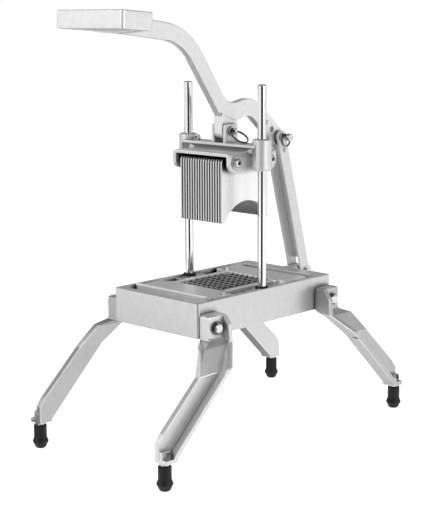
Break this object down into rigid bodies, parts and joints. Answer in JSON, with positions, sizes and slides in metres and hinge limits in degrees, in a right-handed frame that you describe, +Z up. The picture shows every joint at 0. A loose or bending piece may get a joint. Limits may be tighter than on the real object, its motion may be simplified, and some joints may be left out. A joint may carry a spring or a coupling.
{
  "type": "french fry cutter",
  "caption": "Cast aluminium lever press on splayed legs that pushes a potato down guide rods through a grid of blades.",
  "frame": {"origin": "on the floor, below the middle of the tray and of the four feet", "axes": "+X to the right, +Y to the back (away from the handle), +Z up"},
  "size_m": [0.282, 0.531, 0.6252],
  "materials": {
    "cast_aluminium": "fine satin casting, lightly tumbled",
    "ground_steel": "ground and polished bar",
    "stainless_sheet": "brushed sheet",
    "blade_steel": "ground strip",
    "black_rubber": "matt moulded",
    "bright_fasteners": "bright zinc plate",
    "bronze": "sintered bronze"
  },
  "bodies": {
    "base": {"base_frame": "cast_aluminium", "leg_front_left": "cast_aluminium", "leg_front_right": "cast_aluminium", "leg_rear_left": "cast_aluminium", "leg_rear_right": "cast_aluminium", "leg_bolts": "bright_fasteners", "leg_washers": "bright_fasteners", "leg_nuts": "bright_fasteners", "rubber_feet": "black_rubber", "foot_studs": "bright_fasteners", "foot_nuts": "bright_fasteners", "guide_rod_left": "ground_steel", "guide_rod_right": "ground_steel", "rod_screws": "bright_fasteners", "rod_bumpers": "black_rubber", "blade_frame": "cast_aluminium", "long_blades": "blade_steel", "cross_blades": "blade_steel", "blade_studs": "bright_fasteners", "blade_nuts": "bright_fasteners"},
    "carriage": {"crosshead": "cast_aluminium", "guide_bush_left": "bronze", "guide_bush_right": "bronze", "pusher_plates": "stainless_sheet", "plate_spacers": "stainless_sheet", "front_tie_bolt": "bright_fasteners", "rear_tie_bolt": "bright_fasteners", "tie_bolt_washers": "bright_fasteners", "tie_bolt_nuts": "bright_fasteners"},
    "lever": {"lever": "cast_aluminium"},
    "link": {"link": "cast_aluminium", "link_spacers": "bright_fasteners", "link_foot_pin": "bright_fasteners", "link_foot_clips": "bright_fasteners"},
    "clevis_pin": {"clevis_pin": "bright_fasteners"},
    "clevis_ring": {"clevis_ring": "bright_fasteners"},
    "rear_pin": {"rear_pin": "bright_fasteners"},
    "rear_ring": {"rear_ring": "bright_fasteners"}
  },
  "joints": [
    {"name": "carriage_slide", "type": "slide", "parent": "base", "child": "carriage", "axis": [0, 0, -1], "range_m": [0, 0.094]},
    {"name": "lever_pivot", "type": "hinge", "parent": "carriage", "child": "lever", "pos_m": [0, 0, 0.451], "axis": [1, 0, 0], "range_deg": [0, 46]},
    {"name": "link_pivot", "type": "hinge", "parent": "lever", "child": "link", "pos_m": [0, 0.1135, 0.4345], "axis": [1, 0, 0], "range_deg": [-41.5, 0]},
    {"name": "clevis_pin_slide", "type": "slide", "parent": "carriage", "child": "clevis_pin", "axis": [1, 0, 0], "range_m": [0, 0.015]},
    {"name": "clevis_ring_swing", "type": "hinge", "parent": "clevis_pin", "child": "clevis_ring", "pos_m": [0.0204, 0, 0.451], "axis": [0, -1, 0], "range_deg": [0, 100]},
    {"name": "rear_pin_slide", "type": "slide", "parent": "link", "child": "rear_pin", "axis": [1, 0, 0], "range_m": [0, 0.031]},
    {"name": "rear_ring_swing", "type": "hinge", "parent": "rear_pin", "child": "rear_ring", "pos_m": [0.0217, 0.1135, 0.4345], "axis": [1, 0, 0], "range_deg": [-90, 90]}
  ],
  "couplings": [
    {"joint": "lever_pivot", "follows": "carriage_slide", "rad_per_m": 8.42},
    {"joint": "link_pivot", "follows": "carriage_slide", "rad_per_m": -7.593}
  ]
}
